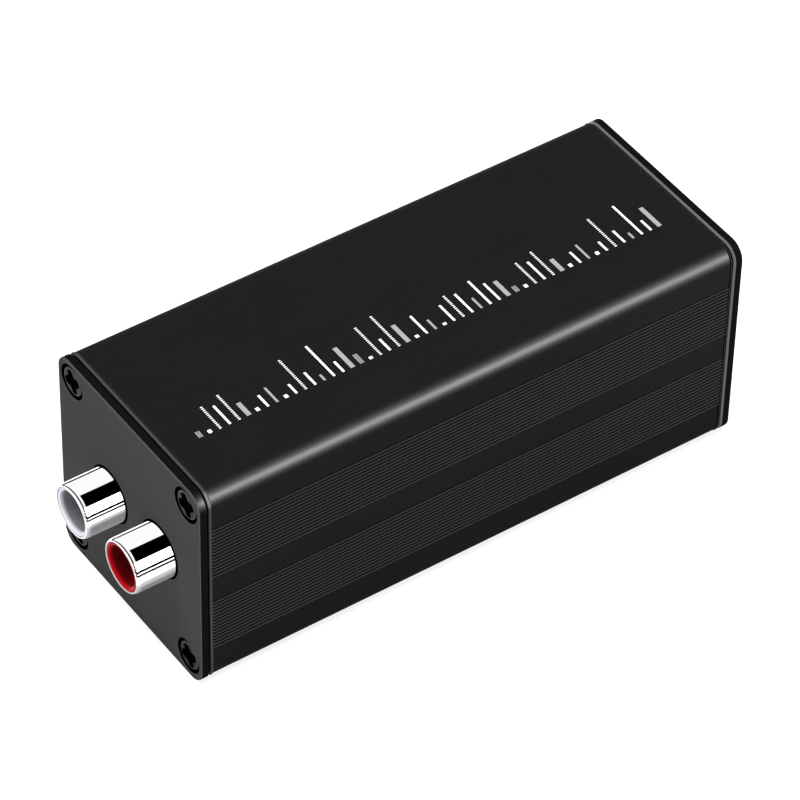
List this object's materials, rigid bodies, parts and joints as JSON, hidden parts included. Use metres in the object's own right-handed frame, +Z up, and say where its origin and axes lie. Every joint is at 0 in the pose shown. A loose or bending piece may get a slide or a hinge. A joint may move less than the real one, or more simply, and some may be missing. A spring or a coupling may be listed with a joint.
{
  "type": "ground loop isolator",
  "caption": "Small black aluminium box with ribbed sides and phono sockets on both end plates; its transformers isolate two audio channels.",
  "frame": {"origin": "middle of the underside, under the centre of the box", "axes": "+Z up; +Y along the length, towards the rear end; the front sockets face -Y; +X to the right as seen from the front"},
  "size_m": [0.035, 0.1024, 0.0355],
  "materials": {
    "anodised_tube": "black anodised, satin",
    "end_plate": "black anodised, matt",
    "trim_frame": "black anodised, satin edge",
    "screw": "black oxide steel",
    "chrome_shell": "bright chrome plate",
    "white_cup": "white moulded plastic",
    "red_cup": "red moulded plastic",
    "tinned_contact": "tinned brass",
    "socket_moulding": "black moulded plastic",
    "circuit_board": "green glass-fibre laminate",
    "laminations": "silicon steel laminations",
    "bobbin": "black moulded plastic",
    "winding": "copper winding under yellow tape",
    "white_print": "white screen print",
    "grey_print": "grey screen print"
  },
  "bodies": {
    "root": {"housing_tube": "anodised_tube", "front_end_plate": "end_plate", "front_trim_frame": "trim_frame", "front_lower_left_screw": "screw", "front_lower_right_screw": "screw", "front_upper_left_screw": "screw", "front_upper_right_screw": "screw", "front_left_socket_shell": "chrome_shell", "front_left_socket_insulator": "white_cup", "front_left_socket_contact": "tinned_contact", "front_left_socket_ground_terminal": "tinned_contact", "front_left_socket_body": "socket_moulding", "front_right_socket_shell": "chrome_shell", "front_right_socket_insulator": "red_cup", "front_right_socket_contact": "tinned_contact", "front_right_socket_ground_terminal": "tinned_contact", "front_right_socket_body": "socket_moulding", "rear_end_plate": "end_plate", "rear_trim_frame": "trim_frame", "rear_lower_left_screw": "screw", "rear_lower_right_screw": "screw", "rear_upper_left_screw": "screw", "rear_upper_right_screw": "screw", "rear_left_socket_shell": "chrome_shell", "rear_left_socket_insulator": "white_cup", "rear_left_socket_contact": "tinned_contact", "rear_left_socket_ground_terminal": "tinned_contact", "rear_left_socket_body": "socket_moulding", "rear_right_socket_shell": "chrome_shell", "rear_right_socket_insulator": "red_cup", "rear_right_socket_contact": "tinned_contact", "rear_right_socket_ground_terminal": "tinned_contact", "rear_right_socket_body": "socket_moulding", "circuit_board": "circuit_board", "left_transformer_core": "laminations", "left_transformer_bobbin": "bobbin", "left_transformer_winding": "winding", "left_transformer_pin_1": "tinned_contact", "left_transformer_pin_2": "tinned_contact", "left_transformer_pin_3": "tinned_contact", "left_transformer_pin_4": "tinned_contact", "right_transformer_core": "laminations", "right_transformer_bobbin": "bobbin", "right_transformer_winding": "winding", "right_transformer_pin_1": "tinned_contact", "right_transformer_pin_2": "tinned_contact", "right_transformer_pin_3": "tinned_contact", "right_transformer_pin_4": "tinned_contact"}
  },
  "joints": []
}
